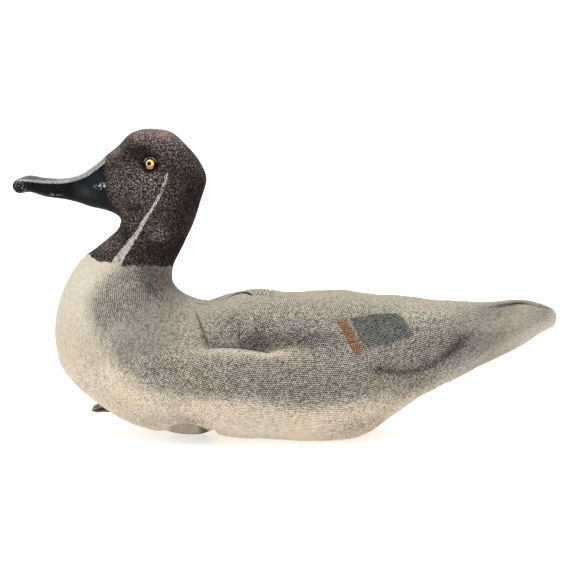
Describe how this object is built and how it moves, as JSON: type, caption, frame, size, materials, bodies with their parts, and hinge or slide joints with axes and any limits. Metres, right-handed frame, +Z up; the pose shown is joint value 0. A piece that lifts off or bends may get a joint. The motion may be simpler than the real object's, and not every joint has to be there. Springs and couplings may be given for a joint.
{
  "type": "duck decoy",
  "caption": "Stuffed knit-cloth duck decoy, a pintail drake with a raised head and pointed tail, glass eyes and a leather line tab, that sits flat on its belly.",
  "frame": {"origin": "on the ground under the middle of the decoy's bounding box", "axes": "+X towards the tail, +Y towards the drake's right side, +Z up"},
  "size_m": [0.468, 0.1526, 0.2638],
  "materials": {
    "knit_cloth": "painted cotton knit, matt and worn",
    "amber_glass": "polished, painted behind",
    "dark_leather": "dull, worn"
  },
  "bodies": {
    "root": {"stuffed_body": "knit_cloth", "left_eye": "amber_glass", "right_eye": "amber_glass", "line_tab": "dark_leather"}
  },
  "joints": []
}
